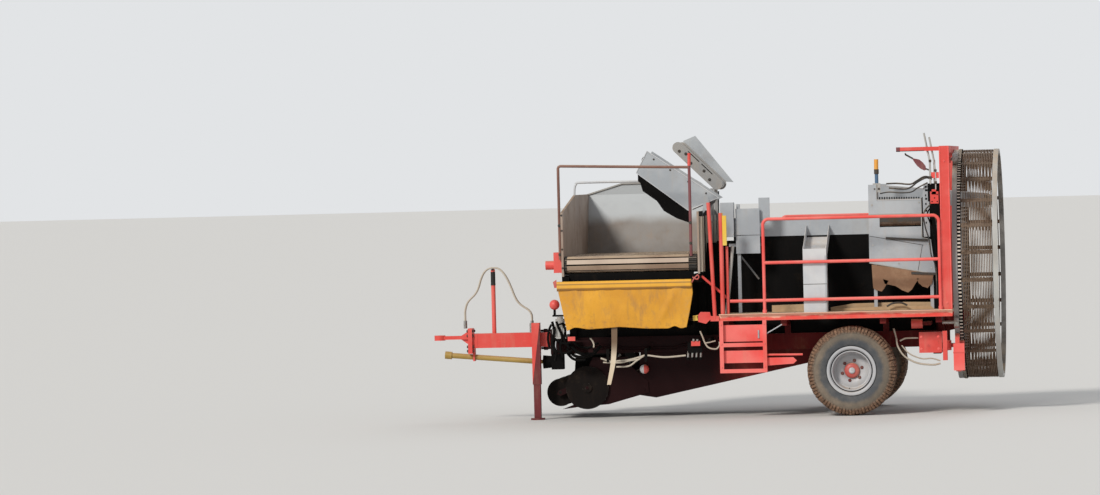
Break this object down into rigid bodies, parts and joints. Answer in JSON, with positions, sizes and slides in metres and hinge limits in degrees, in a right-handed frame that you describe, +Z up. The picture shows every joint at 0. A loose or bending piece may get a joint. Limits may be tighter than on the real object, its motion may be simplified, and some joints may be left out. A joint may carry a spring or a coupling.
{
  "type": "trailed potato harvester with ring elevator",
  "caption": "Trailed potato harvester: drawbar, lifting unit with coulters, sieving web, ring elevator, picking platform with table, conveyors and a side-discharging bunker with canvas curtain.",
  "frame": {"origin": "on the floor, at the middle of the overall length and width", "axes": "+X from the drawbar to the rear, +Y to the right-hand side, +Z up"},
  "size_m": [6.7299, 3, 3.33],
  "materials": {
    "red_paint": "sun-bleached red paint with dirt and worn edges",
    "faded_red_paint": "faded red paint on tube",
    "dark_paint": "dark paint and bare dark steel",
    "grey_sheet": "light grey painted sheet, dusty",
    "black_rubber": "black rubber, dusty",
    "dirty_belt": "belt covered in dried soil",
    "worn_steel": "worn steel rods with soil film",
    "bright_steel": "bare steel",
    "boards": "weathered floor boards",
    "slats": "slats with dried soil",
    "brown_paint": "weathered brown-red tube",
    "canvas_cloth": "mustard yellow canvas with soil stains",
    "yellow_paint": "dull yellow paint",
    "grey_hose": "grey sheathed hydraulic hose",
    "tyre_rubber": "dusty tyre rubber",
    "silver_paint": "silver-white wheel paint"
  },
  "bodies": {
    "chassis": {"main_frame": "red_paint", "front_bracket": "red_paint", "axle_beam": "dark_paint", "web_side_plates": "red_paint", "sieving_web": "worn_steel", "platform_left": "boards", "platform_right": "boards", "handrail_left": "faded_red_paint", "handrail_right": "faded_red_paint", "ladder": "red_paint", "front_uprights": "red_paint", "picking_table": "grey_sheet", "switch_boxes": "grey_sheet", "stone_chute": "grey_sheet", "mast": "red_paint", "ring_guide_rollers": "bright_steel", "ring_drive": "red_paint", "separator_panels": "grey_sheet", "finger_web": "black_rubber", "infeed_web": "dirty_belt", "control_valves": "red_paint", "lamp_post": "yellow_paint", "bunker_walls": "grey_sheet", "bunker_floor": "slats", "bunker_legs": "red_paint", "bunker_drive": "red_paint", "bunker_rails": "brown_paint", "canvas": "canvas_cloth", "elevator_far": "grey_sheet", "pto_gearbox": "dark_paint", "accumulator": "red_paint", "strap": "dirty_belt"},
    "drawbar": {"drawbar": "red_paint", "towing_eye": "red_paint", "hose_post": "red_paint", "valve_block": "bright_steel", "jack_sleeve": "red_paint", "hose_couplers": "black_rubber", "hose_a": "grey_hose", "hose_b": "grey_hose"},
    "steer_barrel": {"steer_barrel": "red_paint"},
    "steer_rod": {"steer_rod": "bright_steel"},
    "jack_leg": {"jack_leg": "bright_steel"},
    "pto_shaft": {"pto_shaft": "yellow_paint"},
    "digger": {"digger_frame": "red_paint", "intake_web": "worn_steel"},
    "coulter_left": {"coulter_left": "dark_paint"},
    "coulter_right": {"coulter_right": "dark_paint"},
    "ridge_roller": {"ridge_roller": "dark_paint"},
    "lift_barrels": {"lift_barrels": "red_paint"},
    "lift_rods": {"lift_rods": "bright_steel"},
    "filler": {"filler_case": "grey_sheet", "filler_belt": "black_rubber", "filler_flap": "black_rubber"},
    "wheel_left": {"tyre_left": "tyre_rubber", "rim_left": "silver_paint"},
    "wheel_right": {"tyre_right": "tyre_rubber", "rim_right": "silver_paint"},
    "ring": {"ring_cage": "worn_steel", "ring_chain": "bright_steel"}
  },
  "joints": [
    {"name": "drawbar_swing", "type": "hinge", "parent": "chassis", "child": "drawbar", "pos_m": [-2.03, -0.745, 0.948], "axis": [0, 0, 1], "range_deg": [-18, 18]},
    {"name": "steer_barrel_turn", "type": "hinge", "parent": "chassis", "child": "steer_barrel", "pos_m": [-2, -0.33, 0.948], "axis": [0, 0, 1], "range_deg": [-13, 13]},
    {"name": "steer_rod_slide", "type": "slide", "parent": "steer_barrel", "child": "steer_rod", "axis": [-0.888, -0.4599, 0], "range_m": [-0.115, 0.115]},
    {"name": "jack_slide", "type": "slide", "parent": "drawbar", "child": "jack_leg", "axis": [0, 0, 1], "range_m": [0, 0.33]},
    {"name": "pto_spin", "type": "hinge", "parent": "drawbar", "child": "pto_shaft", "pos_m": [-2.042, -0.745, 0.68], "axis": [-0.9961, 0, 0.0881], "continuous": true},
    {"name": "digger_lift", "type": "hinge", "parent": "chassis", "child": "digger", "pos_m": [-0.88, 0, 0.33], "axis": [0, 1, 0], "range_deg": [0, 12]},
    {"name": "lift_barrel_turn", "type": "hinge", "parent": "chassis", "child": "lift_barrels", "pos_m": [-1.04, 0, 0.9], "axis": [0, 1, 0], "range_deg": [-4.2, 0.5]},
    {"name": "lift_rod_slide", "type": "slide", "parent": "lift_barrels", "child": "lift_rods", "axis": [-0.6097, 0, -0.7926], "range_m": [-0.1, 0.002]},
    {"name": "coulter_left_spin", "type": "hinge", "parent": "digger", "child": "coulter_left", "pos_m": [-1.552, -0.718, 0.362], "axis": [0, 1, 0], "continuous": true},
    {"name": "coulter_right_spin", "type": "hinge", "parent": "digger", "child": "coulter_right", "pos_m": [-1.552, 0.718, 0.362], "axis": [0, 1, 0], "continuous": true},
    {"name": "ridge_roller_spin", "type": "hinge", "parent": "digger", "child": "ridge_roller", "pos_m": [-1.88, 0, 0.31], "axis": [0, 1, 0], "continuous": true},
    {"name": "filler_lift", "type": "hinge", "parent": "chassis", "child": "filler", "pos_m": [-0.06, -0.61, 2.56], "axis": [0, 1, 0], "range_deg": [-20, 0]},
    {"name": "wheel_left_spin", "type": "hinge", "parent": "chassis", "child": "wheel_left", "pos_m": [1.633, -1.25, 0.525], "axis": [0, 1, 0], "continuous": true},
    {"name": "wheel_right_spin", "type": "hinge", "parent": "chassis", "child": "wheel_right", "pos_m": [1.633, 1.25, 0.525], "axis": [0, 1, 0], "continuous": true},
    {"name": "ring_spin", "type": "hinge", "parent": "chassis", "child": "ring", "pos_m": [3.1, 0, 1.72], "axis": [1, 0, 0], "continuous": true}
  ],
  "couplings": [
    {"joint": "steer_barrel_turn", "follows": "drawbar_swing", "ratio": 0.6625},
    {"joint": "steer_rod_slide", "follows": "drawbar_swing", "m_per_rad": 0.3527},
    {"joint": "lift_barrel_turn", "follows": "digger_lift", "ratio": -0.3},
    {"joint": "lift_rod_slide", "follows": "digger_lift", "m_per_rad": -0.4655}
  ]
}
